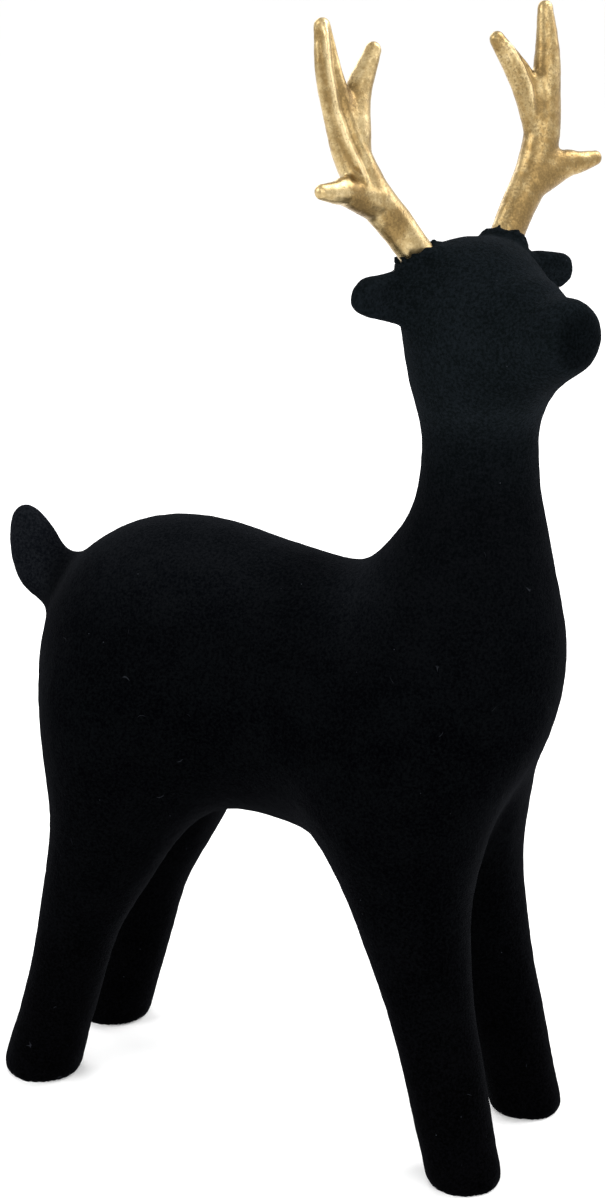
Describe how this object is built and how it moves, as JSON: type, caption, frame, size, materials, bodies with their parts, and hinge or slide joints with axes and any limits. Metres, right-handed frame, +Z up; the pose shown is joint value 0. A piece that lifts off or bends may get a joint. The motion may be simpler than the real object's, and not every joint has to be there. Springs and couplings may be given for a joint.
{
  "type": "reindeer figure",
  "caption": "Standing reindeer figure in flocked cast polyresin, head turned to its right, with gold-leafed branching antlers set into ragged collars on its crown.",
  "frame": {"origin": "on the floor, under the middle of the figure's bounding box", "axes": "+X the way the body faces, +Y the figure's left side, +Z up"},
  "size_m": [0.2126, 0.0942, 0.359],
  "materials": {
    "flock": "black velvet flock over cast polyresin, matte, with a faint sheen at grazing angles",
    "gold_leaf": "aged gold leaf over cast polyresin, mottled with dark brown where it is worn"
  },
  "bodies": {
    "root": {"body": "flock", "antler_left": "gold_leaf", "antler_right": "gold_leaf"}
  },
  "joints": []
}
